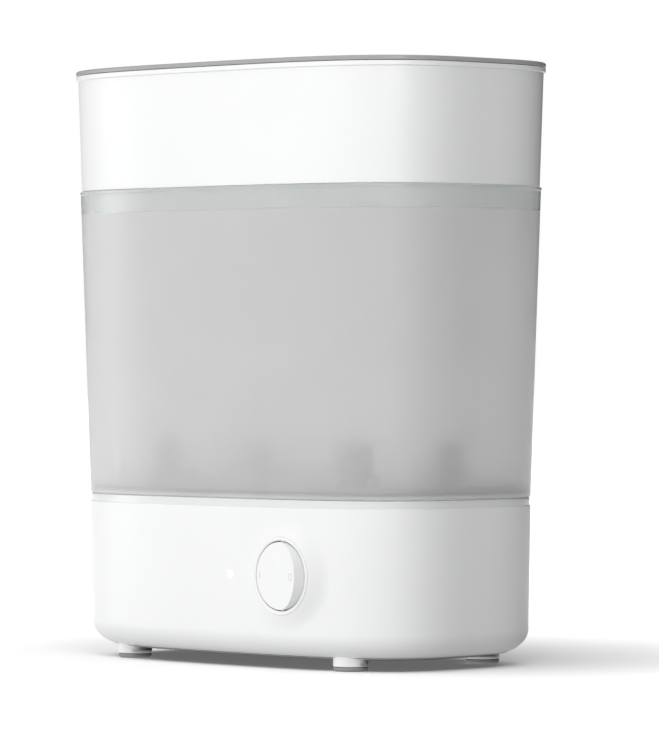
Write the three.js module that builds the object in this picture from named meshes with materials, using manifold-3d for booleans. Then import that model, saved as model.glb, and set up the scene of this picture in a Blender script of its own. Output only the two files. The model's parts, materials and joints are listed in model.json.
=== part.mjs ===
// Electric steam sterilizer for bottles: a heated base, a tall frosted basket, a small basket and a lid,
// stacked on one oval outline. Millimetres, +Z up, origin on the floor under the centre, front towards -Y.
import * as THREE from "three";
import { mergeVertices } from "three/addons/utils/BufferGeometryUtils.js";
import Module from "manifold-3d";

const wasm = await Module();
wasm.setup();

// ---------- driving dimensions ----------
const TOTAL_HEIGHT = 371;
const TOP_HALF_WIDTH = 158; // of the wall along X, extended to the very top
const TOP_HALF_DEPTH = 94.5; // the same along Y
const OVAL_POWER = 3.33; // 2 is an ellipse, more is squarer
const UPPER_DRAFT = 0.03; // inset per mm going down, above the base
const LOWER_DRAFT = 0.013; // the same, on the base
const OVAL_SEGMENTS = 40;
const OVAL_CORE = 110; // inside this half width the oval shrinks in proportion instead of by an even inset
const WALL = 2;
const GAP = 0.3; // between pieces that touch
const NEST_GAP = 0.5; // between a wall and the skirt inside it

const PAD_HEIGHT = 2.6;
const UNDERSIDE_Z = 6.7;
const SEAM_Z = 8.5;
const BASE_WALL = 2.6;
const FILLET_HEIGHT = 16;
const FILLET_DEPTH = 22;
const SHOULDER_Z = 103.7; // the large basket stands here
const BAND_HEIGHT = 5; // the inset band round the top of the base
const BAND_INSET = 0.5;
const COLLAR_TOP_Z = 105.9;
const DECK_Z = 88;
const DECK_THICKNESS = 2.4;
const RIM_Z = 294.7; // where the small basket's shoulder stands on the large basket's flange
const RIM_HEIGHT = 2.1;
const RIM_PROUD = 1;
const LARGE_WALL_STEP = 0.73; // how far the large basket's wall stands outside the small basket's line
const SKIRT_DEPTH = 14.5;
const LEDGE_WIDTH = 4;
const PLATE_THICKNESS = 2;
const LID_Z = 368.2;
const LIP_HEIGHT = 3;
const LIP_PROUD = 1.1;

const FOOT_X = 97.5;
const FOOT_Y = 57.2;
const FOOT_RADIUS = 10.7;

const CONTROL_Z = 57.5; // height of the switch and of the light
const SWITCH_X = 66.6;
const SWITCH_FACE_Y = -87;
const SWITCH_BORE = 21.4;
const BEZEL_RADIUS = 23.8;
const ROCKER_RADIUS = 20.9;
const ROCKER_DEPTH = 3; // from the face to the pivot
const ROCKER_SWING = 18; // degrees between its two stops
const LIGHT_X = 22;
const SLOT_LENGTH = 24; // steam slots in the two loose plates
const SLOT_WIDTH = 5;
const PLATE_RADIUS = 71;
const BOTTLE_SPACING_X = 88;
const BOTTLE_SPACING_Y = 76;

// ---------- materials ----------
function plastic(color, roughness, metalness = 0) {
  return new THREE.MeshStandardMaterial({ color, roughness, metalness });
}
const white = plastic(0xf4f5f5, 0.35);
const frosted = new THREE.MeshStandardMaterial({
  color: 0xc9cccc,
  roughness: 0.5,
  transparent: true,
  opacity: 0.6,
});
const grey = plastic(0x9a9c9c, 0.45);
const rubber = plastic(0x7d7f80, 0.8);
const silicone = plastic(0xb9bcbd, 0.7);
const steel = plastic(0xc4c6c8, 0.3, 1);
const boardGreen = plastic(0x2e6b45, 0.6);
const darkPlastic = plastic(0x303234, 0.5);
const lightPipe = plastic(0xfafafa, 0.2);
const wireRed = plastic(0x8c2a24, 0.6);

// ---------- solids ----------
// A closed geometry as a solid. Faces that collapse at the axis of a lathe are left out.
function solid(geometry) {
  const bare = (geometry.index ? geometry.toNonIndexed() : geometry.clone()).clone();
  bare.deleteAttribute("normal");
  bare.deleteAttribute("uv");
  const merged = mergeVertices(bare, 1e-3);
  const index = merged.index.array;
  const kept = [];
  for (let i = 0; i < index.length; i += 3) {
    const [a, b, c] = [index[i], index[i + 1], index[i + 2]];
    if (a !== b && b !== c && c !== a) kept.push(a, b, c);
  }
  const build = (tris) =>
    new wasm.Manifold(
      new wasm.Mesh({
        numProp: 3,
        vertProperties: merged.attributes.position.array,
        triVerts: new Uint32Array(tris),
      }),
    );
  const made = build(kept);
  if (made.volume() > 0) return made;
  const flipped = kept.slice();
  for (let i = 0; i < flipped.length; i += 3) {
    [flipped[i + 1], flipped[i + 2]] = [flipped[i + 2], flipped[i + 1]];
  }
  return build(flipped);
}

function geometryOf(made) {
  const out = made.getMesh();
  const points = new Float32Array(out.numVert * 3);
  for (let i = 0; i < out.numVert; i++) {
    points.set(out.vertProperties.subarray(i * out.numProp, i * out.numProp + 3), i * 3);
  }
  return new THREE.BufferGeometry()
    .setAttribute("position", new THREE.BufferAttribute(points, 3))
    .setIndex(new THREE.BufferAttribute(out.triVerts, 1));
}

const unite = (first, ...rest) => rest.reduce((all, one) => all.add(one), first);
const cut = (first, ...rest) => rest.reduce((all, one) => all.subtract(one), first);

// A round bar along Z from z0 to z1, standing at x, y.
function barZ(x, y, z0, z1, radius, sides = 16, topRadius = radius) {
  const g = new THREE.CylinderGeometry(topRadius, radius, z1 - z0, sides).rotateX(Math.PI / 2);
  return solid(g.translate(x, y, (z0 + z1) / 2));
}

// A round bar along Y from y0 to y1, at x, z.
function barY(x, z, y0, y1, radius, sides = 16) {
  const g = new THREE.CylinderGeometry(radius, radius, y1 - y0, sides);
  return solid(g.translate(x, (y0 + y1) / 2, z));
}

function box(x0, x1, y0, y1, z0, z1) {
  const g = new THREE.BoxGeometry(x1 - x0, y1 - y0, z1 - z0);
  return solid(g.translate((x0 + x1) / 2, (y0 + y1) / 2, (z0 + z1) / 2));
}

// A round body about Z from a profile of [radius, z] points.
function lathe(profile, sides = 32) {
  const points = profile.map(([r, z]) => new THREE.Vector2(r, z));
  return solid(new THREE.LatheGeometry(points, sides).rotateX(Math.PI / 2));
}

// ---------- the oval outline ----------
const INSET_DIFFERENCE = TOP_HALF_WIDTH - TOP_HALF_DEPTH;

// Half depth of the oval whose half width is given.
function halfDepth(halfWidth) {
  if (halfWidth >= OVAL_CORE) return halfWidth - INSET_DIFFERENCE;
  return (halfWidth * (OVAL_CORE - INSET_DIFFERENCE)) / OVAL_CORE;
}

function ovalPoint(halfWidth, angle) {
  const bend = (v) => Math.sign(v) * Math.abs(v) ** (2 / OVAL_POWER);
  return [halfWidth * bend(Math.cos(angle)), halfDepth(halfWidth) * bend(Math.sin(angle))];
}

// Half width of the outer wall at height z.
function wallAt(z) {
  const above = TOP_HALF_WIDTH - UPPER_DRAFT * (TOTAL_HEIGHT - Math.max(z, SHOULDER_Z));
  if (z >= RIM_Z) return above;
  return above + LARGE_WALL_STEP - LOWER_DRAFT * Math.max(0, SHOULDER_Z - z);
}

// A body whose profile of [half width, z] points runs round the oval: a lathe drawn onto the outline.
// The profile starts and ends on the axis, or closes on itself.
function ovalLathe(profile) {
  const points = profile.map(([a, z]) => new THREE.Vector2(a, z));
  const g = new THREE.LatheGeometry(points, OVAL_SEGMENTS);
  const p = g.getAttribute("position");
  for (let i = 0; i < p.count; i++) {
    const step = Math.floor(i / points.length) % OVAL_SEGMENTS;
    const { x: halfWidth, y: z } = points[i % points.length];
    const [x, y] = ovalPoint(halfWidth, (step / OVAL_SEGMENTS) * 2 * Math.PI);
    p.setXYZ(i, x, y, z);
  }
  return solid(g);
}

// A flat oval plate with box-shaped slots, each given by its centre.
function ovalPlate(halfWidth, z0, z1, slots) {
  const plate = ovalLathe([
    [0, z0],
    [halfWidth, z0],
    [halfWidth, z1],
    [0, z1],
  ]);
  const [halfLength, halfGap] = [SLOT_LENGTH / 2, SLOT_WIDTH / 2];
  const tools = slots.map(([x, y]) =>
    box(x - halfLength, x + halfLength, y - halfGap, y + halfGap, z0 - 1, z1 + 1),
  );
  return cut(plate, ...tools);
}

const corners = (x, y) => [
  [-x, -y],
  [x, -y],
  [x, y],
  [-x, y],
];

// ---------- the parts ----------
const sterilizer = new THREE.Group();

function add(name, made, material) {
  const mesh = new THREE.Mesh(geometryOf(made), material);
  mesh.name = name;
  sterilizer.add(mesh);
}

// Lid: a flat plate with a skirt in the small basket, a sunk oval grip with a bar across it, and steam slots.
const GRIP = { halfWidth: 62, halfDepth: 31, depth: 13, wall: 2, barHalf: 8, barThickness: 4 };

function gripOval(radiusX, radiusY, z0, z1) {
  const ellipse = new THREE.EllipseCurve(0, 0, radiusX, radiusY, 0, 2 * Math.PI);
  const shape = new THREE.Shape(ellipse.getPoints(28).slice(0, -1));
  const geometry = new THREE.ExtrudeGeometry(shape, { depth: z1 - z0, bevelEnabled: false });
  return solid(geometry.translate(0, 0, z0));
}

function lid() {
  const edge = TOP_HALF_WIDTH + LIP_PROUD;
  const skirtOuter = wallAt(LID_Z) - WALL - NEST_GAP;
  const skirtBottom = LID_Z - 8;
  const underside = LID_Z + GAP;
  const plate = ovalLathe([
    [0, TOTAL_HEIGHT],
    [edge - 0.6, TOTAL_HEIGHT],
    [edge, TOTAL_HEIGHT - 0.6],
    [edge, LID_Z],
    [skirtOuter, LID_Z],
    [skirtOuter - 0.3, skirtBottom],
    [skirtOuter - WALL, skirtBottom],
    [skirtOuter - WALL, underside],
    [0, underside],
  ]);
  const floor = TOTAL_HEIGHT - GRIP.depth;
  const { halfWidth, barHalf, wall } = GRIP;
  const cup = gripOval(halfWidth + wall, GRIP.halfDepth + wall, floor - wall, TOTAL_HEIGHT - 1);
  const well = gripOval(halfWidth, GRIP.halfDepth, floor, TOTAL_HEIGHT + 1);
  const barBottom = TOTAL_HEIGHT - GRIP.barThickness;
  const bar = box(-halfWidth, halfWidth, -barHalf, barHalf, barBottom, TOTAL_HEIGHT);
  const vents = [];
  for (const side of [-1, 1]) {
    for (let i = -2; i <= 2; i++) {
      const x = side * 96;
      vents.push(box(x - 14, x + 14, i * 12 - 2, i * 12 + 2, LID_Z - 1, TOTAL_HEIGHT + 1));
    }
  }
  return cut(unite(cut(unite(plate, cup), well), bar), ...vents);
}

// Small basket: a low white tub. Its skirt goes inside the large basket, and a ledge carries the loose plate.
const SMALL_LEDGE_Z = RIM_Z - SKIRT_DEPTH;

function smallBasket() {
  const lipBottom = LID_Z - GAP - LIP_HEIGHT;
  const lipTop = LID_Z - GAP;
  const skirtOuter = wallAt(RIM_Z - 0.1) - WALL - NEST_GAP;
  const lowered = UPPER_DRAFT * SKIRT_DEPTH;
  const inner = skirtOuter - WALL;
  return ovalLathe([
    [wallAt(lipTop) - WALL, lipTop],
    [wallAt(lipTop) + LIP_PROUD, lipTop],
    [wallAt(lipTop) + LIP_PROUD, lipBottom],
    [wallAt(lipBottom), lipBottom],
    [wallAt(RIM_Z), RIM_Z],
    [skirtOuter, RIM_Z],
    [skirtOuter - lowered, SMALL_LEDGE_Z],
    [inner - lowered - LEDGE_WIDTH, SMALL_LEDGE_Z],
    [inner - lowered - LEDGE_WIDTH, SMALL_LEDGE_Z + WALL],
    [inner - lowered, SMALL_LEDGE_Z + WALL],
    [inner, RIM_Z + 1],
    [wallAt(RIM_Z + 5) - WALL, RIM_Z + 5],
    [wallAt(lipTop) - WALL, lipTop],
  ]);
}

// Rows of steam slots that stay inside the oval, clear of the bottle posts.
function steamSlots(halfWidth, keepOut) {
  const holes = [];
  for (let row = -3; row <= 3; row++) {
    for (let column = -3; column <= 3; column++) {
      const [x, y] = [column * 36, row * 20];
      const corner = (Math.abs(x) + 14) / halfWidth;
      const side = (Math.abs(y) + 6) / halfDepth(halfWidth);
      const inside = corner ** OVAL_POWER + side ** OVAL_POWER < 0.9;
      const free = keepOut.every(([px, py]) => Math.abs(px - x) > 24 || Math.abs(py - y) > 11.5);
      if (inside && free) holes.push([x, y]);
    }
  }
  return holes;
}

function smallBasketPlate() {
  const skirtInner = wallAt(RIM_Z - 0.1) - WALL - NEST_GAP - WALL - UPPER_DRAFT * SKIRT_DEPTH;
  const z0 = SMALL_LEDGE_Z + WALL + GAP;
  const halfWidth = skirtInner - NEST_GAP;
  return ovalPlate(halfWidth, z0, z0 + PLATE_THICKNESS, steamSlots(halfWidth, []));
}

// Large basket: the tall frosted tub, with a flange on top and a ledge at the bottom for the loose plate.
const LARGE_LEDGE_Z = COLLAR_TOP_Z + 1;
const LARGE_BOTTOM_Z = SHOULDER_Z + GAP;

function largeBasket() {
  const top = RIM_Z - GAP;
  const flangeBottom = top - RIM_HEIGHT;
  const flange = wallAt(RIM_Z) + RIM_PROUD;
  const inner = (z) => wallAt(z) - WALL;
  return ovalLathe([
    [inner(top), top],
    [flange - 0.5, top],
    [flange, top - 0.5],
    [flange, flangeBottom],
    [wallAt(flangeBottom), flangeBottom],
    [wallAt(LARGE_BOTTOM_Z), LARGE_BOTTOM_Z],
    [inner(LARGE_BOTTOM_Z), LARGE_BOTTOM_Z],
    [inner(LARGE_LEDGE_Z), LARGE_LEDGE_Z],
    [inner(LARGE_LEDGE_Z) - LEDGE_WIDTH, LARGE_LEDGE_Z],
    [inner(LARGE_LEDGE_Z) - LEDGE_WIDTH, LARGE_LEDGE_Z + WALL],
    [inner(LARGE_LEDGE_Z + WALL), LARGE_LEDGE_Z + WALL],
    [inner(top), top],
  ]);
}

// The plate that the bottles stand on, with six tapered posts that go up inside the upturned bottles.
const POST_HEIGHT = 26;

function largeBasketPlate() {
  const halfWidth = wallAt(LARGE_LEDGE_Z + WALL) - WALL - NEST_GAP;
  const z0 = LARGE_LEDGE_Z + WALL + GAP;
  const places = [];
  for (const column of [-1, 0, 1]) {
    for (const row of [-0.5, 0.5]) places.push([column * BOTTLE_SPACING_X, row * BOTTLE_SPACING_Y]);
  }
  const plate = ovalPlate(halfWidth, z0, z0 + PLATE_THICKNESS, steamSlots(halfWidth, places));
  const top = z0 + PLATE_THICKNESS + POST_HEIGHT;
  return unite(plate, ...places.map(([x, y]) => barZ(x, y, z0 + 1, top, 9, 10, 6.5)));
}

// Base housing: a sleeve with a rounded bottom edge, a collar for the large basket and a ledge for the deck.
function filletPoint(angle, wall) {
  const centre = wallAt(UNDERSIDE_Z + FILLET_HEIGHT) - FILLET_DEPTH;
  return [
    centre + (FILLET_DEPTH - wall) * Math.cos(angle),
    UNDERSIDE_Z + FILLET_HEIGHT - (FILLET_HEIGHT - wall) * Math.sin(angle),
  ];
}
const SEAM_ANGLE = Math.asin((UNDERSIDE_Z + FILLET_HEIGHT - SEAM_Z) / FILLET_HEIGHT);
const PLATE_HOLE = 65;
const CLAMP_BOSS_RADIUS = 78;
const CLAMP_BOSSES = [0, 120, 240].map((degrees) => {
  const angle = THREE.MathUtils.degToRad(degrees);
  return [CLAMP_BOSS_RADIUS * Math.cos(angle), CLAMP_BOSS_RADIUS * Math.sin(angle)];
});
const COVER_SCREWS = corners(118, 24);
const GLAND = { x: -64, z: 32, radius: 6 };
const BOARD = { x0: -100, x1: -40, y0: -38, y1: 4, z: 22 };
const COVER_TOP_Z = UNDERSIDE_Z + 3;

const COLLAR_INNER = wallAt(SHOULDER_Z) - WALL - NEST_GAP - WALL;
const LEDGE_Z = DECK_Z - DECK_THICKNESS - GAP;

function baseHousing() {
  const arc = [0.2, 0.45, 0.7, 1].map((share) => share * SEAM_ANGLE);
  const filletTop = UNDERSIDE_Z + FILLET_HEIGHT;
  const sleeve = ovalLathe([
    [COLLAR_INNER, COLLAR_TOP_Z],
    [COLLAR_INNER + WALL, COLLAR_TOP_Z],
    [COLLAR_INNER + WALL, SHOULDER_Z],
    [wallAt(SHOULDER_Z) - BAND_INSET, SHOULDER_Z],
    [wallAt(SHOULDER_Z) - BAND_INSET, SHOULDER_Z - BAND_HEIGHT],
    [wallAt(SHOULDER_Z), SHOULDER_Z - BAND_HEIGHT],
    [wallAt(filletTop), filletTop],
    ...arc.map((angle) => filletPoint(angle, 0)),
    ...arc.reverse().map((angle) => filletPoint(angle, BASE_WALL)),
    [wallAt(filletTop) - BASE_WALL, filletTop],
    [wallAt(SHOULDER_Z) - BASE_WALL, LEDGE_Z - 2],
    [COLLAR_INNER - 2, LEDGE_Z - 2],
    [COLLAR_INNER - 2, LEDGE_Z],
    [COLLAR_INNER, LEDGE_Z],
    [COLLAR_INNER, COLLAR_TOP_Z],
  ]);
  return cut(
    sleeve,
    barY(SWITCH_X, CONTROL_Z, -100, -60, BEZEL_RADIUS + GAP, 32),
    barY(LIGHT_X, CONTROL_Z, -100, -60, 3.2, 16),
    barY(GLAND.x, GLAND.z, 60, 100, GLAND.radius + GAP, 16),
    ...corners(FOOT_X, FOOT_Y).map(([x, y]) => barZ(x, y, 0, 14.6, FOOT_RADIUS + GAP, 20)),
  );
}

// Water deck: the floor round the heating plate. Its posts take the cover screws, which pull it onto the ledge.
function waterDeck() {
  const edge = COLLAR_INNER - GAP;
  const plate = ovalLathe([
    [0, DECK_Z],
    [edge, DECK_Z],
    [edge, DECK_Z - DECK_THICKNESS],
    [0, DECK_Z - DECK_THICKNESS],
  ]);
  const posts = COVER_SCREWS.map(([x, y]) => barZ(x, y, COVER_TOP_Z + GAP, DECK_Z - 1, 4.5, 12));
  const bosses = CLAMP_BOSSES.map(([x, y]) => barZ(x, y, 82.4, DECK_Z - 1, 4, 12));
  const pilots = [
    ...COVER_SCREWS.map(([x, y]) => barZ(x, y, 0, 24, 1.9, 10)),
    ...CLAMP_BOSSES.map(([x, y]) => barZ(x, y, 80, DECK_Z - 2, 1.9, 10)),
  ];
  return cut(unite(plate, ...posts, ...bosses), barZ(0, 0, 80, 95, PLATE_HOLE, 36), ...pilots);
}

// Bottom cover: closes the base from below and carries the feet, the screws and the control board.
function bottomCover() {
  const arc = [1.0, 0.5, 0].map((share) => SEAM_ANGLE + (share * (Math.PI / 2 - SEAM_ANGLE)));
  const [seamWidth] = filletPoint(SEAM_ANGLE, 0);
  const dish = ovalLathe([
    [0, UNDERSIDE_Z],
    ...arc.map((angle) => filletPoint(angle, 0)).map(([a, z]) => [a - GAP, Math.min(z, SEAM_Z - GAP)]),
    [seamWidth - 6, SEAM_Z - GAP],
    [seamWidth - 6, 13],
    [seamWidth - 8, 13],
    [seamWidth - 8, COVER_TOP_Z],
    [0, COVER_TOP_Z],
  ]);
  const feet = corners(FOOT_X, FOOT_Y).map(([x, y]) => barZ(x, y, PAD_HEIGHT + GAP, 14, FOOT_RADIUS, 20));
  const studHoles = corners(FOOT_X, FOOT_Y).map(([x, y]) => barZ(x, y, 0, 8.5, 3.4, 10));
  const standoffs = boardCorners().map(([x, y]) => barZ(x, y, COVER_TOP_Z - 1, BOARD.z - GAP, 3.5, 10));
  const screwHoles = COVER_SCREWS.map(([x, y]) => barZ(x, y, 0, 12, 2, 10));
  const screwWells = COVER_SCREWS.map(([x, y]) => barZ(x, y, 0, 8.8, 4, 12));
  const pilots = boardCorners().map(([x, y]) => barZ(x, y, 12, 30, 1.4, 8));
  const vents = [];
  for (let i = -2; i <= 5; i++) vents.push(box(i * 12 - 2, i * 12 + 2, 18, 48, 0, 12));
  return cut(unite(dish, ...feet, ...standoffs), ...studHoles, ...screwHoles, ...screwWells, ...pilots, ...vents);
}

function boardCorners() {
  const { x0, x1, y0, y1 } = BOARD;
  return [
    [x0 + 5, y0 + 5],
    [x1 - 5, y1 - 5],
  ];
}

const footPad = (x, y) => unite(barZ(x, y, 0, PAD_HEIGHT, FOOT_RADIUS - GAP, 20), barZ(x, y, 1, 8, 3, 10));

// A pan-head screw whose head's top is at z and whose shank points up (or down with a negative length).
function screw(x, y, headBottom, shankTop, headRadius = 3.4) {
  const head = barZ(x, y, headBottom, headBottom + 1.6, headRadius, 12);
  const driver = box(x - 2, x + 2, y - 0.4, y + 0.4, headBottom - 1, headBottom + 0.8);
  return cut(unite(head, barZ(x, y, headBottom + 1, shankTop, 1.5, 8)), driver);
}

// Heating plate with its seal, clamp ring, sheathed element, thermostat and fuse.
const FLANGE_Z = 82.3;
const BOWL_Z = 77.5;

const heatingPlate = () =>
  lathe([
    [0, BOWL_Z],
    [54, BOWL_Z],
    [59.5, FLANGE_Z],
    [PLATE_RADIUS, FLANGE_Z],
    [PLATE_RADIUS, FLANGE_Z + 1.2],
    [59, FLANGE_Z + 1.2],
    [53.5, BOWL_Z + 1.2],
    [0, BOWL_Z + 1.8],
  ], 36);

const plateSeal = () =>
  lathe([
    [61, FLANGE_Z + 1.2 + GAP],
    [PLATE_RADIUS, FLANGE_Z + 1.2 + GAP],
    [PLATE_RADIUS, DECK_Z - DECK_THICKNESS - GAP],
    [PLATE_HOLE - GAP - 0.4, DECK_Z - DECK_THICKNESS - GAP],
    [PLATE_HOLE - GAP - 0.4, DECK_Z + 1],
    [61, DECK_Z + 1],
    [61, FLANGE_Z + 1.2 + GAP],
  ], 36);

function clampRing() {
  const ring = lathe([
    [62, FLANGE_Z - GAP - 2],
    [PLATE_RADIUS + 2, FLANGE_Z - GAP - 2],
    [PLATE_RADIUS + 2, FLANGE_Z - GAP],
    [62, FLANGE_Z - GAP],
    [62, FLANGE_Z - GAP - 2],
  ], 36);
  const ears = CLAMP_BOSSES.map(([x, y]) => barZ(x, y, FLANGE_Z - GAP - 2, FLANGE_Z - GAP, 6.5, 12));
  const holes = CLAMP_BOSSES.map(([x, y]) => barZ(x, y, 70, 90, 1.9, 10));
  return cut(unite(ring, ...ears), ...holes);
}

// A tube of the given radius along a smooth line through points.
function tube(points, radius, steps, sides) {
  const path = new THREE.CatmullRomCurve3(points.map((p) => new THREE.Vector3(...p)));
  const section = new THREE.Shape(
    new THREE.EllipseCurve(0, 0, radius, radius, 0, 2 * Math.PI).getPoints(sides).slice(0, -1),
  );
  return solid(new THREE.ExtrudeGeometry(section, { steps, bevelEnabled: false, extrudePath: path }));
}

function heaterElement() {
  const [radius, z, tubeRadius] = [44, BOWL_Z - 4.8, 3.2];
  const points = [];
  for (let degrees = 290; degrees >= -20; degrees -= 15) {
    const angle = THREE.MathUtils.degToRad(degrees - 45);
    points.push([radius * Math.cos(angle), radius * Math.sin(angle), z]);
  }
  const last = points[points.length - 1];
  const first = points[0];
  points.unshift([first[0], first[1] - 2, z - 14]);
  points.push([last[0], last[1] - 2, z - 14]);
  return tube(points, tubeRadius, 60, 8);
}

const THERMOSTAT_BOTTOM = 68;
const STRAP_Z = 66.4;

function thermostat() {
  const can = barZ(0, 0, THERMOSTAT_BOTTOM, BOWL_Z - GAP, 8.5, 20);
  const tabZ = THERMOSTAT_BOTTOM + 1;
  const tabs = [-10, 10].map((x) => box(x - 3, x + 3, -2, 2, tabZ, tabZ + 0.8));
  return unite(can, ...tabs);
}

function thermostatStrap() {
  const reach = 67;
  const strap = box(-6, 6, -reach, reach, STRAP_Z, STRAP_Z + 1.2);
  const top = FLANGE_Z - 2 - 2 * GAP;
  const legs = [-reach, reach].map((y) => box(-6, 6, y - 1, y + 1, STRAP_Z, top));
  return unite(strap, ...legs);
}

// Front control: bezel with its barrel, rocker on a pin, and the contact block behind.
const PIVOT_Y = SWITCH_FACE_Y + GAP + ROCKER_DEPTH;

function switchBezel() {
  const depth = 24;
  const ring = lathe([
    [SWITCH_BORE, 0.6],
    [SWITCH_BORE + 0.6, 0],
    [BEZEL_RADIUS - 1, 0],
    [BEZEL_RADIUS, 1],
    [BEZEL_RADIUS, 12.2],
    [27.5, 12.2],
    [27.5, 14.2],
    [BEZEL_RADIUS, 14.2],
    [BEZEL_RADIUS, depth],
    [9, depth],
    [9, depth - 2],
    [SWITCH_BORE, depth - 2],
    [SWITCH_BORE, 0.6],
  ], 36);
  // The lathe's axis turns from Z to Y, and its front goes to the face of the switch.
  const placed = ring.rotate([-90, 0, 0]).translate([SWITCH_X, SWITCH_FACE_Y, CONTROL_Z]);
  return cut(placed, barZ(SWITCH_X, PIVOT_Y, 0, 100, 1.7, 12));
}

// The rocker is a ball about the pivot, cut to a section with two flat faces that meet in a shallow valley.
function rocker() {
  const toRadians = THREE.MathUtils.degToRad;
  const middle = toRadians(-ROCKER_SWING / 2);
  const corner = Math.acos(ROCKER_DEPTH / ROCKER_RADIUS);
  const at = (angle, radius) => new THREE.Vector2(radius * Math.sin(angle), -radius * Math.cos(angle));
  const outer = ROCKER_RADIUS + 3;
  const back = toRadians(115);
  const section = new THREE.Shape([
    at(-corner, ROCKER_RADIUS),
    at(middle, ROCKER_DEPTH / Math.cos(middle)),
    at(2 * middle + corner, ROCKER_RADIUS),
    at(2 * middle + corner, outer),
    at(middle + Math.PI / 2, outer),
    at(middle + back, outer),
    at(middle - back, outer),
    at(middle - Math.PI / 2, outer),
    at(-corner, outer),
  ].reverse());
  const extruded = new THREE.ExtrudeGeometry(section, { depth: 60, bevelEnabled: false });
  const prism = solid(extruded.translate(0, 0, -30));
  const ball = solid(new THREE.SphereGeometry(ROCKER_RADIUS, 28, 18).rotateX(Math.PI / 2));
  const blade = box(-2, 2, 6, 22, -4, 4).rotate([0, 0, -ROCKER_SWING / 2]);
  const body = unite(prism.intersect(ball), blade);
  return cut(body, barZ(0, 0, -30, 30, 1.7, 12)).translate([SWITCH_X, PIVOT_Y, CONTROL_Z]);
}

function switchBody() {
  const back = SWITCH_FACE_Y + 24;
  const block = box(SWITCH_X - 14, SWITCH_X + 14, back + GAP, back + 16, CONTROL_Z - 12, CONTROL_Z + 12);
  const mouth = box(SWITCH_X - 7, SWITCH_X + 7, back - 1, back + 9, CONTROL_Z - 5, CONTROL_Z + 5);
  return cut(block, mouth);
}

// Wiring, board and light.
const boardPlate = () => {
  const { x0, x1, y0, y1, z } = BOARD;
  const holes = boardCorners().map(([x, y]) => barZ(x, y, z - 5, z + 5, 1.8, 8));
  return cut(box(x0, x1, y0, y1, z, z + 1.6), ...holes);
};

function lightGuide() {
  const rod = barY(LIGHT_X, CONTROL_Z, -87, -76, 2.9, 16);
  return unite(rod, barY(LIGHT_X, CONTROL_Z, -82.9, -81.9, 4.6, 16));
}

function cordGland() {
  const bush = barY(GLAND.x, GLAND.z, 74, 88, GLAND.radius, 16);
  const outside = barY(GLAND.x, GLAND.z, 85.2, 88, GLAND.radius + 2.4, 16);
  const inside = barY(GLAND.x, GLAND.z, 76, 78.5, GLAND.radius + 2, 16);
  return cut(unite(bush, outside, inside), barY(GLAND.x, GLAND.z, 60, 100, 3.6, 12));
}

add("lid", lid(), grey);
add("small_basket", smallBasket(), white);
add("small_basket_plate", smallBasketPlate(), white);
add("large_basket", largeBasket(), frosted);
add("large_basket_plate", largeBasketPlate(), grey);
add("base_housing", baseHousing(), white);
add("water_deck", waterDeck(), white);
add("bottom_cover", bottomCover(), white);
add("heating_plate", heatingPlate(), steel);
add("plate_seal", plateSeal(), silicone);
add("plate_clamp_ring", clampRing(), steel);
CLAMP_BOSSES.forEach(([x, y], i) => add("clamp_screw_" + (i + 1), screw(x, y, 78.1, 85), steel));
add("heater_element", heaterElement(), steel);
add("thermostat", thermostat(), darkPlastic);
add("thermostat_strap", thermostatStrap(), steel);
add("thermal_fuse", barY(21, BOWL_Z - GAP - 3, -10, 10, 3, 10), darkPlastic);
add("switch_bezel", switchBezel(), white);
add("switch_rocker", rocker(), white);
add("rocker_pin", barZ(SWITCH_X, PIVOT_Y, CONTROL_Z - 23.4, CONTROL_Z + 23.4, 1.5, 12), steel);
add("switch_body", switchBody(), darkPlastic);
[SWITCH_X - 7, SWITCH_X + 7].forEach((x, i) => {
  const back = SWITCH_FACE_Y + 40;
  const tab = box(x - 0.5, x + 0.5, back + GAP, back + 9, CONTROL_Z - 3, CONTROL_Z + 3);
  add("switch_terminal_" + (i + 1), tab, steel);
});
add("light_guide", lightGuide(), lightPipe);
add("light_board", box(LIGHT_X - 9, LIGHT_X + 9, -71, -69.4, CONTROL_Z - 8, CONTROL_Z + 8), boardGreen);
add("indicator_light", barY(LIGHT_X, CONTROL_Z, -75.6, -71.3, 2.5, 12), lightPipe);
add("control_board", boardPlate(), boardGreen);
add("board_relay", box(-92, -72, -20, -4, BOARD.z + 1.6 + GAP, BOARD.z + 18), darkPlastic);
add("board_capacitor", barZ(-56, -22, BOARD.z + 1.6 + GAP, BOARD.z + 20, 6, 14), darkPlastic);
boardCorners().forEach(([x, y], i) => {
  const under = BOARD.z + 1.6 + GAP;
  const head = barZ(x, y, under, under + 1.6, 3, 10);
  add("board_screw_" + (i + 1), unite(head, barZ(x, y, under - 9, under + 1, 1.1, 8)), steel);
});
add("mains_terminal_block", box(-80, -48, 34, 48, COVER_TOP_Z + GAP, COVER_TOP_Z + 17), darkPlastic);
add("cord_gland", cordGland(), darkPlastic);
const footNames = ["front_left", "front_right", "back_right", "back_left"];
corners(FOOT_X, FOOT_Y).forEach(([x, y], i) => add("foot_pad_" + footNames[i], footPad(x, y), rubber));
COVER_SCREWS.forEach(([x, y], i) => add("cover_screw_" + (i + 1), screw(x, y, 6.9, 20), steel));

// Leads: terminal block to switch, switch to board, board to heater.
const leads = {
  switch_lead: [
    [-46, 41, 20],
    [-20, 30, 16],
    [20, 0, 16],
    [50, -20, 30],
    [SWITCH_X - 7, -34, CONTROL_Z],
  ],
  board_lead: [
    [SWITCH_X + 7, -34, CONTROL_Z],
    [SWITCH_X + 4, -10, 40],
    [30, 8, 30],
    [-10, 4, 26],
    [-36, -6, 26],
  ],
  heater_lead: [
    [-64, 32, 20],
    [-64, 20, 30],
    [-34, -14, 44],
    [-19, -42, 57],
  ],
};
for (const [name, points] of Object.entries(leads)) add(name, tube(points, 1.2, 16, 6), wireRed);

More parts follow.
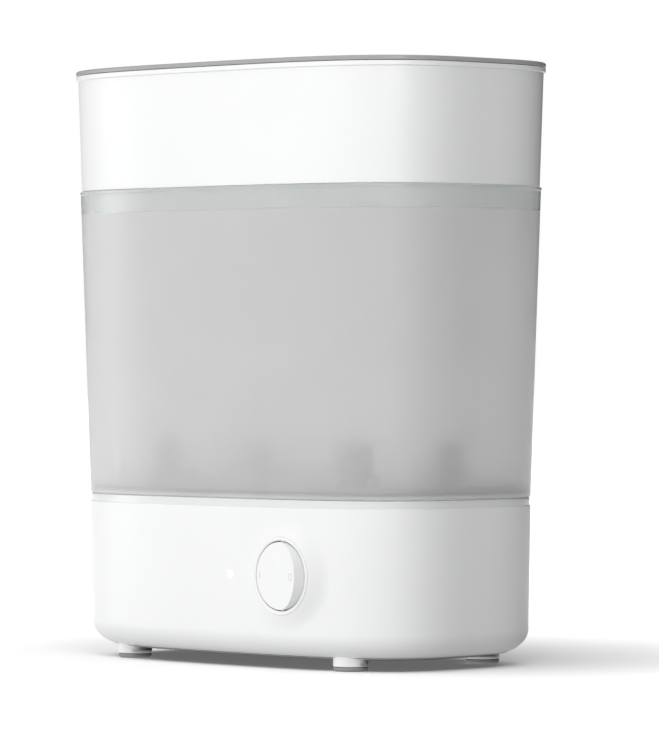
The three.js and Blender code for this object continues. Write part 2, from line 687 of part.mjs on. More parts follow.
export default sterilizer;
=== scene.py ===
import json
import math

import bmesh
import bpy
from mathutils import Matrix, Vector

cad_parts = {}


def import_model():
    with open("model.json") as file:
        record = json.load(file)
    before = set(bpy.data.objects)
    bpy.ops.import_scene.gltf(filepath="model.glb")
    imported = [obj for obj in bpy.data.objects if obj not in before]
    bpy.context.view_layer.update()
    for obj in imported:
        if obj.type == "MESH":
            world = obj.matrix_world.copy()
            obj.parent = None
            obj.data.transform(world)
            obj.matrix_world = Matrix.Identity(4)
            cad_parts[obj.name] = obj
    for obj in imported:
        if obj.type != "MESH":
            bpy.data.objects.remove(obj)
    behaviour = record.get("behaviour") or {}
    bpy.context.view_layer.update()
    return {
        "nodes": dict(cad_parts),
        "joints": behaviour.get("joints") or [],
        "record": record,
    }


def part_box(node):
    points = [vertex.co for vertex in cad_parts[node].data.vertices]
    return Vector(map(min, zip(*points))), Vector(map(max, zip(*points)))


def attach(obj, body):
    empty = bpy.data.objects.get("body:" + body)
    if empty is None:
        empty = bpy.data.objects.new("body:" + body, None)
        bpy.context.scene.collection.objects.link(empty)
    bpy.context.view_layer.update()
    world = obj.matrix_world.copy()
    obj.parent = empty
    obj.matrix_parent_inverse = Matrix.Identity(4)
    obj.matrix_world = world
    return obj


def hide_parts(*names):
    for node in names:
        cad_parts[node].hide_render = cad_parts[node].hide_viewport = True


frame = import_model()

# Lengths below are in millimetres, and MM turns them into Blender's metres. The front faces -Y.
MM = 0.001


def box_mm(node):
    low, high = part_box(node)
    return low / MM, high / MM


# ---------- sizes ----------
OVAL_POWER = 3.33  # the outline is a superellipse
OVAL_CORE = 110  # inside this half width the outline shrinks in proportion
LIP_PROUD = 1.1
UPPER_DRAFT = 0.03  # how much the wall leans out per unit of height, above the base
LOWER_DRAFT = 0.013  # the same for the base
LARGE_WALL_STEP = 0.73  # the large basket and the base stand out this much from the small basket's line
WALL = 2.0
BASE_WALL = 2.6
NEST_GAP = 0.5  # round a skirt that sits inside another piece
GAP = 0.3  # between pieces that rest on each other
PLATE_LEDGE = 4.0  # how far a basket's ledge reaches in under its loose plate
BAND_HEIGHT = 5.0
BAND_INSET = 0.5
FILLET_HEIGHT = 16.0
FILLET_DEPTH = 22.0
DECK_THICKNESS = 2.4
SEAM_Z = 8.5  # where the housing ends and the bottom cover begins

_, lid_high = box_mm("lid")
small_low, small_high = box_mm("small_basket")
large_low, large_high = box_mm("large_basket")
_, housing_high = box_mm("base_housing")
cover_low, _ = box_mm("bottom_cover")
rocker_low, rocker_high = box_mm("switch_rocker")
bezel_low, bezel_high = box_mm("switch_bezel")
light_low, light_high = box_mm("light_guide")
gland_low, gland_high = box_mm("cord_gland")

TOTAL_HEIGHT = lid_high.z
TOP_HALF_WIDTH = lid_high.x - LIP_PROUD
INSET_DIFFERENCE = lid_high.x - lid_high.y
LIP_TOP = small_high.z
RIM_TOP = large_high.z
SPLIT_Z = large_low.z - GAP
UNDERSIDE_Z = 6.7
DECK_Z = 88.0
PLATE_HOLE = 65.0


def half_depth(half_width):
    if half_width >= OVAL_CORE:
        return half_width - INSET_DIFFERENCE
    return half_width * (OVAL_CORE - INSET_DIFFERENCE) / OVAL_CORE


def wall_at(z):
    """Half width of the outer wall at height z."""
    above = TOP_HALF_WIDTH - UPPER_DRAFT * (TOTAL_HEIGHT - max(z, SPLIT_Z))
    if z > RIM_TOP:
        return above
    return above + LARGE_WALL_STEP - LOWER_DRAFT * max(0, SPLIT_Z - z)


# ---------- materials ----------
class Finish:
    """A material on one Principled shader, with helpers for the fine detail on it."""

    def __init__(self, name, color, roughness, metallic=0.0, **constants):
        self.material = bpy.data.materials.new(name)
        self.material.use_nodes = True
        self.tree = self.material.node_tree
        self.shader = self.tree.nodes["Principled BSDF"]
        self.color = color
        self.set("Base Color", (*color, 1))
        self.set("Roughness", roughness)
        self.set("Metallic", metallic)
        for key, value in constants.items():
            self.set(key.replace("_", " "), value)
        self.place = self.tree.nodes.new("ShaderNodeTexCoord").outputs["Object"]

    def set(self, socket, value):
        self.shader.inputs[socket].default_value = value

    def link(self, output, socket):
        self.tree.links.new(output, socket)

    def noise(self, size_mm, detail=2.0):
        noise = self.tree.nodes.new("ShaderNodeTexNoise")
        noise.inputs["Scale"].default_value = 1 / (size_mm * MM)
        noise.inputs["Detail"].default_value = detail
        self.link(self.place, noise.inputs["Vector"])
        return noise.outputs["Fac"]

    def mottle(self, size_mm, amount):
        """Lets the colour drift by a small amount to either side."""
        ramp = self.tree.nodes.new("ShaderNodeValToRGB")
        ramp.color_ramp.elements[0].position = 0.3
        ramp.color_ramp.elements[1].position = 0.7
        ramp.color_ramp.elements[0].color = (*(c * (1 - amount) for c in self.color), 1)
        ramp.color_ramp.elements[1].color = (*(min(1, c * (1 + amount)) for c in self.color), 1)
        self.link(self.noise(size_mm), ramp.inputs["Fac"])
        self.link(ramp.outputs["Color"], self.shader.inputs["Base Color"])
        return self

    def wear(self, size_mm, low, high):
        """Lets the roughness drift between two values."""
        ranged = self.tree.nodes.new("ShaderNodeMapRange")
        ranged.inputs["To Min"].default_value = low
        ranged.inputs["To Max"].default_value = high
        self.link(self.noise(size_mm, 4.0), ranged.inputs["Value"])
        self.link(ranged.outputs["Result"], self.shader.inputs["Roughness"])
        return self

    def bump(self, height, depth_mm, strength):
        node = self.tree.nodes.new("ShaderNodeBump")
        node.inputs["Distance"].default_value = depth_mm * MM
        node.inputs["Strength"].default_value = strength
        self.link(height, node.inputs["Height"])
        self.link(node.outputs["Normal"], self.shader.inputs["Normal"])
        return self

    def grain(self, size_mm, depth_mm, strength):
        return self.bump(self.noise(size_mm, 3.0), depth_mm, strength)


def plain(name, color, roughness, mottle, wear, grain, **constants):
    finish = Finish(name, color, roughness, **constants)
    return finish.mottle(*mottle).wear(*wear).grain(*grain).material


def brushed_steel():
    """Brushed in circles about the middle of the plate."""
    finish = Finish("brushed_steel", (0.66, 0.66, 0.655), 0.3, 1.0)
    rings = finish.tree.nodes.new("ShaderNodeTexWave")
    rings.wave_type = "RINGS"
    rings.rings_direction = "Z"
    rings.inputs["Scale"].default_value = 1 / (3.2 * MM)
    rings.inputs["Distortion"].default_value = 2.5
    rings.inputs["Detail"].default_value = 6.0
    rings.inputs["Detail Scale"].default_value = 3.0
    finish.link(finish.place, rings.inputs["Vector"])
    return finish.mottle(18, 0.04).wear(6, 0.24, 0.36).bump(rings.outputs["Fac"], 0.01, 0.4).material


# For each: name, colour, roughness, then (size, amount) of the colour's drift, (size, low, high) of the
# roughness and (size, depth, strength) of the grain, with sizes and depth in millimetres.
WHITE = plain(
    "moulded_white",
    (0.81, 0.814, 0.816),
    0.34,
    (60, 0.006),
    (25, 0.30, 0.38),
    (0.7, 0.012, 0.35),
    Specular_IOR_Level=0.45,
)
INNER_WHITE = plain("inner_white", (0.82, 0.825, 0.825), 0.5, (40, 0.01), (15, 0.44, 0.56), (1.0, 0.02, 0.4))
GREY_PLATE = plain("inner_grey", (0.09, 0.092, 0.094), 0.5, (40, 0.015), (15, 0.44, 0.56), (1.0, 0.02, 0.4))
# The band under the shoulder is a little greyer than the rest of the base.
BAND = plain(
    "band_white",
    (0.70, 0.72, 0.715),
    0.2,
    (60, 0.006),
    (25, 0.17, 0.24),
    (0.7, 0.012, 0.3),
    Specular_IOR_Level=0.6,
)
FROSTED = plain(
    "frosted_polypropylene",
    (0.82, 0.82, 0.823),
    0.3,
    (45, 0.012),
    (30, 0.27, 0.33),
    (0.5, 0.015, 0.35),
    Transmission_Weight=0.66,
    IOR=1.4,
)
# The top of the large basket is smoother, and the small basket's skirt shows through it.
FROSTED_BAND = plain(
    "frosted_band",
    (0.81, 0.83, 0.82),
    0.2,
    (45, 0.012),
    (30, 0.18, 0.23),
    (0.5, 0.01, 0.3),
    Transmission_Weight=0.8,
    IOR=1.4,
)
SMOKE = plain(
    "smoke_grey",
    (0.52, 0.525, 0.53),
    0.22,
    (50, 0.02),
    (20, 0.18, 0.26),
    (0.8, 0.01, 0.3),
    Transmission_Weight=0.35,
    IOR=1.3,
)
RUBBER = plain("foot_rubber", (0.27, 0.273, 0.276), 0.75, (4, 0.06), (3, 0.68, 0.82), (0.35, 0.04, 0.6))
SILICONE = plain("seal_silicone", (0.45, 0.455, 0.46), 0.6, (8, 0.03), (5, 0.52, 0.66), (0.4, 0.02, 0.5))
BRUSHED = brushed_steel()
STEEL = plain(
    "plain_steel",
    (0.55, 0.55, 0.55),
    0.35,
    (3, 0.05),
    (2, 0.28, 0.44),
    (0.3, 0.01, 0.5),
    metallic=1.0,
)
BOARD = plain("circuit_board", (0.03, 0.16, 0.07), 0.45, (2.5, 0.25), (3, 0.38, 0.52), (0.3, 0.01, 0.5))
DARK = plain("dark_plastic", (0.045, 0.045, 0.048), 0.5, (6, 0.08), (4, 0.44, 0.58), (0.4, 0.02, 0.5))
LIGHT = plain(
    "light_pipe",
    (0.97, 0.97, 0.96),
    0.15,
    (1.5, 0.01),
    (1.5, 0.12, 0.2),
    (0.5, 0.005, 0.3),
    Emission_Strength=0.35,
    Emission_Color=(1, 1, 1, 1),
)
LEAD = plain("lead_cover", (0.32, 0.03, 0.02), 0.5, (3, 0.06), (2, 0.45, 0.58), (0.3, 0.01, 0.4))
PRINT = plain("print_grey", (0.66, 0.665, 0.67), 0.5, (1, 0.02), (1, 0.45, 0.55), (0.2, 0.005, 0.3))

# ---------- mesh helpers ----------
SEGMENTS = 256


def add_object(name, data):
    obj = bpy.data.objects.new(name, data)
    bpy.context.scene.collection.objects.link(obj)
    return obj


def outline_angles(count):
    """Angles whose points stand at even distances along the outline."""
    fine = 4096
    reach = wall_at(SPLIT_Z)
    points = [oval_point(reach, 2 * math.pi * i / fine) for i in range(fine + 1)]
    lengths = [0.0]
    for a, b in zip(points, points[1:]):
        lengths.append(lengths[-1] + math.dist(a, b))
    angles, k = [], 0
    for i in range(count):
        target = lengths[-1] * i / count
        while lengths[k + 1] < target:
            k += 1
        share = (target - lengths[k]) / (lengths[k + 1] - lengths[k])
        angles.append(2 * math.pi * (k + share) / fine)
    return angles


def oval_point(half_width, angle):
    def bend(v):
        return math.copysign(abs(v) ** (2 / OVAL_POWER), v)

    return half_width * bend(math.cos(angle)), half_depth(half_width) * bend(math.sin(angle))


ANGLES = {count: outline_angles(count) for count in (SEGMENTS, 2 * SEGMENTS)}


def oval_ring(half_width, count=SEGMENTS):
    return [oval_point(half_width, a) for a in ANGLES[count]]


def ellipse_ring(a, b, count=SEGMENTS):
    """An ellipse whose points look the same way as the outline's."""
    ring = []
    reach = 100
    for x, y in oval_ring(reach, count):
        angle = math.atan2(y / half_depth(reach), x / reach)
        ring.append((a * math.cos(angle), b * math.sin(angle)))
    return ring


def round_ring(radius, count):
    turns = [2 * math.pi * i / count for i in range(count)]
    return [(radius * math.cos(t), radius * math.sin(t)) for t in turns]


def rounded(profile, steps=4):
    """The points of a closed profile from its corners, (radius, z) or (radius, z, rounding)."""
    points = []
    for i, corner in enumerate(profile):
        here = Vector(corner[:2])
        if len(corner) < 3:
            points.append(here)
            continue
        before = (Vector(profile[i - 1][:2]) - here).normalized()
        after = (Vector(profile[(i + 1) % len(profile)][:2]) - here).normalized()
        opening = before.angle(after)
        reach = corner[2] / math.tan(opening / 2)
        centre = here + (before + after).normalized() * corner[2] / math.sin(opening / 2)
        start, end = here + before * reach - centre, here + after * reach - centre
        turn = math.pi - opening
        for k in range(steps + 1):
            share = k / steps
            mixed = start * math.sin((1 - share) * turn) + end * math.sin(share * turn)
            points.append(centre + mixed / math.sin(turn))
    return [(p.x, p.y) for p in points]


def divided(profile, step):
    """The same profile with its long upright stretches cut into short ones."""
    upright = 4.0
    out = []
    for (r0, z0), (r1, z1) in zip(profile, profile[1:] + profile[:1]):
        pieces = max(1, round(abs(z1 - z0) / step)) if abs(r1 - r0) < upright else 1
        out += [(r0 + (r1 - r0) * k / pieces, z0 + (z1 - z0) * k / pieces) for k in range(pieces)]
    return out


def new_object(name, vertices, faces):
    mesh = bpy.data.meshes.new(name)
    mesh.from_pydata([Vector(v) * MM for v in vertices], [], faces)
    mesh.validate()
    bm = bmesh.new()
    bm.from_mesh(mesh)
    bmesh.ops.recalc_face_normals(bm, faces=bm.faces)
    bm.to_mesh(mesh)
    bm.free()
    return add_object(name, mesh)


def loft(name, rings):
    """A closed skin over (ring, z) sections.

    An empty ring is a point on the axis. Without one at either end, the last section joins up with the first.
    """
    vertices, starts, faces = [], [], []
    for ring, z in rings:
        starts.append((len(vertices), len(ring)))
        vertices += [(x, y, z) for x, y in ring] or [(0, 0, z)]
    pairs = list(zip(starts, starts[1:]))
    if starts[0][1] and starts[-1][1]:
        pairs.append((starts[-1], starts[0]))
    for (a, count_a), (b, count_b) in pairs:
        count = max(count_a, count_b)
        for i in range(count):
            j = (i + 1) % count
            lower = [a + i, a + j] if count_a else [a]
            upper = [b + j, b + i] if count_b else [b]
            faces.append(lower + upper)
    return new_object(name, vertices, faces)


def oval_loft(name, profile, count=SEGMENTS):
    return loft(name, [(oval_ring(r, count) if r > 0 else [], z) for r, z in profile])


def lathe(name, profile, at=(0, 0, 0), count=96, facing=None):
    """A round body about Z, or with its axis turned to +Y when facing is "Y"."""
    obj = loft(name, [(round_ring(r, count) if r > 0 else [], z) for r, z in profile])
    if facing == "Y":
        obj.data.transform(Matrix.Rotation(-math.pi / 2, 4, "X"))
    obj.data.transform(Matrix.Translation(Vector(at) * MM))
    return obj


def rectangle(x0, x1, y0, y1):
    return [(x0, y0), (x1, y0), (x1, y1), (x0, y1)]


def prism(name, outline, z0, z1):
    count = len(outline)
    vertices = [(x, y, z) for z in (z0, z1) for x, y in outline]
    sides = [[i, (i + 1) % count, count + (i + 1) % count, count + i] for i in range(count)]
    return new_object(name, vertices, sides + [list(range(count)), list(range(count, 2 * count))])


def stadium(x, y, length, width, along="X"):
    """A slot's outline with round ends."""
    half, r = (length - width) / 2, width / 2
    steps = 8
    outline = []
    for end, start in ((1, -90), (-1, 90)):
        for k in range(steps + 1):
            a = math.radians(start + 180 * k / steps)
            outline.append((end * half + r * math.cos(a), r * math.sin(a)))
    if along == "Y":
        outline = [(-v, u) for u, v in outline]
    return [(x + u, y + v) for u, v in outline]


def joined(name, objects):
    bm = bmesh.new()
    for obj in objects:
        bm.from_mesh(obj.data)
        bpy.data.objects.remove(obj)
    mesh = bpy.data.meshes.new(name)
    bm.to_mesh(mesh)
    bm.free()
    return add_object(name, mesh)


def apply_modifiers(obj):
    bpy.context.view_layer.update()
    graph = bpy.context.evaluated_depsgraph_get()
    mesh = bpy.data.meshes.new_from_object(obj.evaluated_get(graph))
    obj.modifiers.clear()
    obj.data = mesh
    return obj


def combine(obj, others, operation):
    """Cuts a solid by others, or joins them to it, and deletes them. The others don't overlap."""
    tool = joined(obj.name + "_tool", others)
    modifier = obj.modifiers.new("combine", "BOOLEAN")
    modifier.operation = operation
    modifier.solver = "EXACT"
    modifier.object = tool
    apply_modifiers(obj)
    bpy.data.objects.remove(tool)
    return obj


def cut(obj, *tools):
    return combine(obj, tools, "DIFFERENCE")


def unite(obj, *tools):
    return combine(obj, tools, "UNION")


def soften(obj, width_mm, segments=3, angle=35):
    """Rounds every edge sharper than the angle by a small bevel."""
    modifier = obj.modifiers.new("soften", "BEVEL")
    modifier.width = width_mm * MM
    modifier.segments = segments
    modifier.limit_method = "ANGLE"
    modifier.angle_limit = math.radians(angle)
    return apply_modifiers(obj)


def finish_piece(obj, body, slot_name, material, *replaced, sharp=38):
    """Smooths the shading, sets the material, and hangs the piece on its body in the frame."""
    for face in obj.data.polygons:
        face.use_smooth = True
    obj.data.set_sharp_from_angle(angle=math.radians(sharp))
    weighted = obj.modifiers.new("weighted", "WEIGHTED_NORMAL")
    weighted.keep_sharp = True
    obj.data.materials.clear()
    obj.data.materials.append(material)
    obj.name = obj.name.partition(".")[0] + "_visual"
    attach(obj, body)
    if replaced:
        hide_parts(*replaced)
    return obj


# ---------- lid ----------
GRIP_X, GRIP_Y, GRIP_DEPTH = 62.0, 31.0, 13.0
BAR_HALF = 8.0
LID_THICKNESS = 2.8
LID_SKIRT = 8.0


def lid():
    edge = lid_high.x
    lid_z = TOTAL_HEIGHT - LID_THICKNESS
    skirt_z = lid_z - LID_SKIRT
    flat = GRIP_X + 40
    skirt = wall_at(lid_z) - WALL - NEST_GAP
    floor = TOTAL_HEIGHT - GRIP_DEPTH
    outer = [
        (flat, TOTAL_HEIGHT),
        (edge, TOTAL_HEIGHT, 1.3),
        (edge, lid_z, 0.4),
        (skirt, lid_z, 0.3),
        (skirt - 0.3, skirt_z, 0.6),
        (skirt - WALL, skirt_z, 0.6),
        (skirt - WALL, lid_z + 0.3, 0.5),
        (flat, lid_z + 0.3),
    ]
    rings = [(oval_ring(r), z) for r, z in rounded(outer)]
    # The grip's well has a skin below the lid and one inside it, as distances from the grip's outline.
    below = [(2.0, lid_z + 0.3), (2.0, floor - 0.5), (0.6, floor - 2), (-6, floor - 2)]
    inside = [(-6, floor), (-2.2, floor), (-0.8, floor + 0.8), (0, floor + 3), (0, TOTAL_HEIGHT - 2)]
    lip = [(0.35, TOTAL_HEIGHT - 1), (1.1, TOTAL_HEIGHT - 0.3), (2.1, TOTAL_HEIGHT)]
    under = [(ellipse_ring(GRIP_X + d, GRIP_Y + d), z) for d, z in below]
    over = [(ellipse_ring(GRIP_X + d, GRIP_Y + d), z) for d, z in inside + lip]
    obj = loft("lid", [([], floor)] + over + rings + under + [([], floor - 2)])
    bar_outline = rectangle(-GRIP_X - 1, GRIP_X + 1, -BAR_HALF, BAR_HALF)
    bar = soften(prism("bar", bar_outline, TOTAL_HEIGHT - 4, TOTAL_HEIGHT - 0.05), 1.2)
    unite(obj, bar)
    vents = []
    for side in (-1, 1):
        for row in range(-2, 3):
            outline = stadium(side * 96, row * 12, 28, 4)
            vents.append(prism("vent", outline, lid_z - 2, TOTAL_HEIGHT + 1))
    cut(obj, *vents)
    return finish_piece(obj, "lid", "smoke_lid", SMOKE, "lid")


# ---------- baskets ----------
def small_basket():
    lip_bottom = LIP_TOP - 3
    base_z = RIM_TOP + GAP
    # The skirt goes down inside the large basket.
    skirt = wall_at(RIM_TOP) - WALL - NEST_GAP
    ledge_z = small_low.z
    lowered = UPPER_DRAFT * (base_z - ledge_z)
    inner = skirt - WALL
    profile = [
        (wall_at(LIP_TOP) - WALL, LIP_TOP, 0.6),
        (wall_at(LIP_TOP) + LIP_PROUD, LIP_TOP, 0.5),
        (wall_at(LIP_TOP) + LIP_PROUD, lip_bottom, 0.5),
        (wall_at(lip_bottom), lip_bottom, 0.35),
        (wall_at(base_z), base_z, 0.45),
        (skirt, base_z, 0.4),
        (skirt - lowered, ledge_z, 0.5),
        (inner - lowered - PLATE_LEDGE, ledge_z, 0.5),
        (inner - lowered - PLATE_LEDGE, ledge_z + WALL, 0.5),
        (inner - lowered, ledge_z + WALL, 0.6),
        (inner, base_z + 1, 1.5),
        (wall_at(base_z + 5) - WALL, base_z + 5, 1.5),
    ]
    obj = oval_loft("small_basket", rounded(profile))
    return finish_piece(obj, "small_basket", "white_shell", WHITE, "small_basket")


def large_basket():
    top = RIM_TOP
    rim_bottom = top - 2.1
    band_bottom = small_low.z
    bottom = large_low.z
    ledge_z = housing_high.z + 1

    def inner(z):
        return wall_at(z) - WALL

    profile = [
        (inner(top), top, 0.5),
        (large_high.x, top, 0.6),
        (large_high.x, rim_bottom, 0.5),
        (wall_at(rim_bottom), rim_bottom, 0.4),
        (wall_at(band_bottom), band_bottom),
        (wall_at(bottom), bottom, 0.5),
        (inner(bottom), bottom, 0.4),
        (inner(ledge_z), ledge_z, 0.4),
        (inner(ledge_z) - PLATE_LEDGE, ledge_z, 0.5),
        (inner(ledge_z) - PLATE_LEDGE, ledge_z + WALL, 0.5),
        (inner(ledge_z + WALL), ledge_z + WALL, 0.6),
        (inner(band_bottom), band_bottom),
    ]
    obj = oval_loft("large_basket", rounded(profile))
    finish_piece(obj, "large_basket", "frosted_shell", FROSTED, "large_basket")
    obj.data.materials.append(FROSTED_BAND)
    for face in obj.data.polygons:
        if face.center.z / MM > band_bottom:
            face.material_index = 1
    return obj


SLOT_LENGTH, SLOT_WIDTH = 24, 5
SLOT_PITCH_X, SLOT_PITCH_Y = 36, 20


def slot_places(half_width, keep_out):
    """Middles of the slots that stay inside the plate and clear of the places to keep out of."""
    places = []
    for row in range(-3, 4):
        for column in range(-3, 4):
            x, y = column * SLOT_PITCH_X, row * SLOT_PITCH_Y
            across = (abs(x) + 14) / half_width
            deep = (abs(y) + 6) / half_depth(half_width)
            inside = across**OVAL_POWER + deep**OVAL_POWER < 0.9
            free = all(abs(px - x) > 24 or abs(py - y) > 11.5 for px, py in keep_out)
            if inside and free:
                places.append((x, y))
    return places


def perforated_plate(name, keep_out):
    low, high = box_mm(name)
    top = low.z + 2
    edge = high.x
    profile = [(0, top), (edge - 3, top), (edge, top, 0.7), (edge, low.z, 0.7), (edge - 3, low.z), (0, low.z)]
    obj = oval_loft(name, rounded(profile))
    slots = []
    for x, y in slot_places(edge, keep_out):
        slots.append(prism("slot", stadium(x, y, SLOT_LENGTH, SLOT_WIDTH), low.z - 1, top + 1))
    return cut(obj, *slots), top


def small_basket_plate():
    obj, _ = perforated_plate("small_basket_plate", [])
    return finish_piece(obj, "small_basket_plate", "white_shell", INNER_WHITE, "small_basket_plate")


def large_basket_plate():
    places = [(x, y) for x in (-88, 0, 88) for y in (-38, 38)]
    obj, top = perforated_plate("large_basket_plate", places)
    _, high = box_mm("large_basket_plate")
    profile = [
        (0, high.z),
        (6.5, high.z, 2.5),
        (8.6, top + 2),
        (9.2, top + 0.8),
        (10.6, top + 0.05),
        (10.6, top - 1),
        (0, top - 1),
    ]
    unite(obj, *(lathe("post", rounded(profile), (x, y, 0), 48) for x, y in places))
    return finish_piece(obj, "large_basket_plate", "grey_plate", GREY_PLATE, "large_basket_plate")


# ---------- base ----------
switch_x = (bezel_low.x + bezel_high.x) / 2
control_z = (bezel_low.z + bezel_high.z) / 2
switch_face = bezel_low.y
BEZEL_RADIUS = 23.8
SWITCH_BORE = 21.4
LIGHT_BORE = 3.0
GLAND_BORE = 6.3
BOSS_BORE_TOP = 14.6
DECK_LEDGE = 2.0
POST_RADIUS, CLAMP_BOSS_RADIUS, PILOT_RADIUS = 4.5, 4.0, 1.9
CLAMP_BOSS_Z = 82.4
COVER_RIB_TOP = 13.0
COLLAR_REACH = 11.0
COLLAR_INNER = wall_at(SPLIT_Z) - WALL - NEST_GAP - WALL


def centre_of(node):
    low, high = box_mm(node)
    return (low.x + high.x) / 2, (low.y + high.y) / 2


COVER_SCREWS = [centre_of(f"cover_screw_{i}") for i in (1, 2, 3, 4)]
CLAMP_SCREWS = [centre_of(f"clamp_screw_{i}") for i in (1, 2, 3)]
FOOT_NAMES = ("front_left", "front_right", "back_right", "back_left")
FEET = [centre_of("foot_pad_" + name) for name in FOOT_NAMES]
FOOT_RADIUS = 10.7


def fillet_point(angle, wall):
    """A point of the rounded bottom edge, from the side (0) down to the underside, on or inside its skin."""
    centre = wall_at(UNDERSIDE_Z + FILLET_HEIGHT) - FILLET_DEPTH
    return (
        centre + (FILLET_DEPTH - wall) * math.cos(angle),
        UNDERSIDE_Z + FILLET_HEIGHT - (FILLET_HEIGHT - wall) * math.sin(angle),
    )


SEAM_ANGLE = math.asin((UNDERSIDE_Z + FILLET_HEIGHT - SEAM_Z) / FILLET_HEIGHT)


def raise_collar(obj):
    """Pulls the front wall out to meet the bezel, in a soft fillet round it."""
    centre = Vector((switch_x, control_z))
    skin = 1.0  # only points this near the outer wall move
    overlap = 0.3
    for vertex in obj.data.vertices:
        x, y, z = vertex.co / MM
        distance = (Vector((x, z)) - centre).length
        if y > 0 or distance > BEZEL_RADIUS + COLLAR_REACH:
            continue
        half_width = wall_at(z)
        wall_y = -half_depth(half_width) * (1 - (abs(x) / half_width) ** OVAL_POWER) ** (1 / OVAL_POWER)
        if abs(y - wall_y) > skin:
            continue
        share = max(0, distance - BEZEL_RADIUS) / COLLAR_REACH
        lift = (1 - share) ** 2 * (1 + 0.6 * share)
        vertex.co.y += (switch_face + overlap - wall_y) * lift * MM


def bar_y(x, z, y0, y1, radius, count=96):
    """A round cutter along Y."""
    return lathe("bar_y", [(0, 0), (radius, 0), (radius, y1 - y0), (0, y1 - y0)], (x, y0, z), count, "Y")


def bar_z(x, y, z0, z1, radius, count=64):
    return lathe("bar_z", [(0, z0), (radius, z0), (radius, z1), (0, z1)], (x, y, 0), count)


def base_housing():
    """A sleeve with a rounded bottom edge, a band, a collar, and the ledge for the water deck."""
    arc = [SEAM_ANGLE * k / 12 for k in range(1, 13)]
    fillet_top = UNDERSIDE_Z + FILLET_HEIGHT
    band_bottom = SPLIT_Z - BAND_HEIGHT
    ledge = DECK_Z - DECK_THICKNESS - GAP
    profile = [
        (COLLAR_INNER, housing_high.z, 0.6),
        (COLLAR_INNER + WALL, housing_high.z, 0.6),
        (COLLAR_INNER + WALL, SPLIT_Z, 0.4),
        (wall_at(SPLIT_Z) - BAND_INSET, SPLIT_Z, 0.8),
        (wall_at(SPLIT_Z) - BAND_INSET, band_bottom, 0.3),
        (wall_at(SPLIT_Z), band_bottom, 0.35),
        (wall_at(fillet_top), fillet_top),
        *(fillet_point(angle, 0) for angle in arc),
        *(fillet_point(angle, BASE_WALL) for angle in reversed(arc)),
        (wall_at(fillet_top) - BASE_WALL, fillet_top),
        (wall_at(SPLIT_Z) - BASE_WALL, ledge - 2, 1),
        (COLLAR_INNER - DECK_LEDGE, ledge - 2, 0.5),
        (COLLAR_INNER - DECK_LEDGE, ledge, 0.5),
        (COLLAR_INNER, ledge, 0.4),
    ]
    skin = divided(rounded(profile), 2.0)
    obj = loft("base_housing", [(oval_ring(r, 2 * SEGMENTS), z) for r, z in skin])
    raise_collar(obj)
    gland_x, gland_z = (gland_low.x + gland_high.x) / 2, (gland_low.z + gland_high.z) / 2
    light_x = (light_low.x + light_high.x) / 2
    cut(
        obj,
        bar_y(switch_x, control_z, switch_face - 20, switch_face + 30, BEZEL_RADIUS + 0.08),
        bar_y(light_x, control_z, switch_face - 20, switch_face + 20, LIGHT_BORE, 48),
        bar_y(gland_x, gland_z, 60, 100, GLAND_BORE, 48),
        *(bar_z(x, y, 0, BOSS_BORE_TOP, FOOT_RADIUS + 0.25) for x, y in FEET),
    )
    finish_piece(obj, "base", "white_shell", WHITE, "base_housing")
    obj.data.materials.append(BAND)
    for face in obj.data.polygons:
        x, y, z = face.center / MM
        outside = face.normal.x * x + face.normal.y * y > 0
        if outside and band_bottom < z < SPLIT_Z - 0.2 and abs(face.normal.z) < 0.5:
            face.material_index = 1
    return obj


def water_deck():
    """The floor round the heating plate. It lies on the housing's ledge and carries the screw posts."""
    low, high = box_mm("water_deck")
    under = DECK_Z - DECK_THICKNESS
    profile = [
        (high.x - 6, DECK_Z),
        (high.x, DECK_Z, 0.5),
        (high.x, under, 0.5),
        (high.x - 6, under),
    ]
    skin = [(oval_ring(r), z) for r, z in rounded(profile)]
    hole = [(PLATE_HOLE, under), (PLATE_HOLE, DECK_Z - 0.6), (PLATE_HOLE + 0.6, DECK_Z)]
    obj = loft("water_deck", skin + [(ellipse_ring(r, r), z) for r, z in hole])
    posts = [bar_z(x, y, low.z, DECK_Z - 1, POST_RADIUS, 32) for x, y in COVER_SCREWS]
    bosses = [bar_z(x, y, CLAMP_BOSS_Z, DECK_Z - 1, CLAMP_BOSS_RADIUS, 32) for x, y in CLAMP_SCREWS]
    unite(obj, *posts, *bosses)
    pilots = [bar_z(x, y, 0, 24, PILOT_RADIUS, 24) for x, y in COVER_SCREWS]
    pilots += [bar_z(x, y, 80, DECK_Z - 2, PILOT_RADIUS, 24) for x, y in CLAMP_SCREWS]
    cut(obj, *pilots)
    return finish_piece(obj, "base", "white_shell", WHITE, "water_deck")


